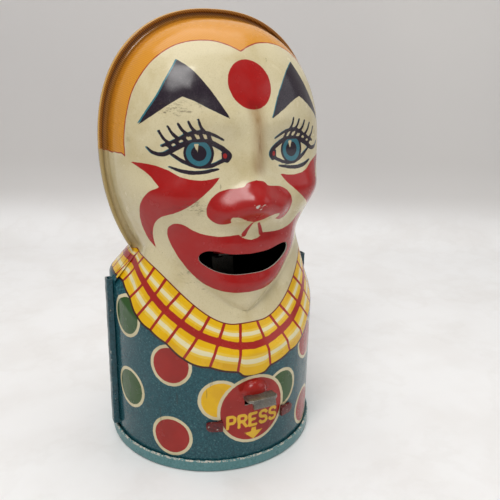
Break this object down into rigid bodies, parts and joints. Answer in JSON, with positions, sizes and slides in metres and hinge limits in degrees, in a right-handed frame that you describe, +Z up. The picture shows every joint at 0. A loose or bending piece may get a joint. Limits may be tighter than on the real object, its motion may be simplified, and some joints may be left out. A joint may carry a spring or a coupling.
{
  "type": "mechanical coin bank",
  "caption": "Pressed-tin clown head coin bank: a sprung lever in the round can pushes a tongue out of the open mouth, and the base has a twist-out coin trap.",
  "frame": {"origin": "on the table under the middle of the whole outline, 2.9 mm in front of the can's own axis", "axes": "+Z up to the crown, +X to the right of a viewer facing the face, +Y towards the back of the head, so the face looks along -Y"},
  "size_m": [0.0664, 0.0701, 0.1263],
  "materials": {
    "face_litho": "glossy printed tinplate, cream face and teal body, worn",
    "hair_litho": "glossy printed tinplate, orange hair and teal body, worn",
    "strip_teal": "dark teal enamel, chipped edges",
    "base_teal": "pale teal enamel, chipped edges",
    "frame_red": "dark red enamel on steel",
    "tongue_red": "red enamel on steel",
    "spring_steel": "drawn spring wire",
    "bare_steel": "bare aged sheet steel"
  },
  "bodies": {
    "root": {"front_shell": "face_litho", "back_shell": "hair_litho", "seam_strip_left": "strip_teal", "seam_strip_right": "strip_teal", "base_cap": "base_teal", "mechanism_frame": "frame_red", "pivot_pin": "bare_steel", "return_spring": "spring_steel"},
    "rocker": {"rocker_arm": "bare_steel", "press_lever": "bare_steel", "tongue": "tongue_red", "tongue_rivet_left": "bare_steel", "tongue_rivet_right": "bare_steel"},
    "trap": {"coin_trap": "bare_steel"}
  },
  "joints": [
    {"name": "lever_press", "type": "hinge", "parent": "root", "child": "rocker", "pos_m": [0, -0.01905, 0.0195], "axis": [1, 0, 0], "range_deg": [0, 16.8], "stiffness_Nm_per_rad": 0.04, "springref_deg": -17.19, "deforming": ["return_spring"]},
    {"name": "trap_turn", "type": "hinge", "parent": "root", "child": "trap", "pos_m": [0, 0.00295, 0.0015], "axis": [0, 0, 1], "range_deg": [0, 60]}
  ]
}
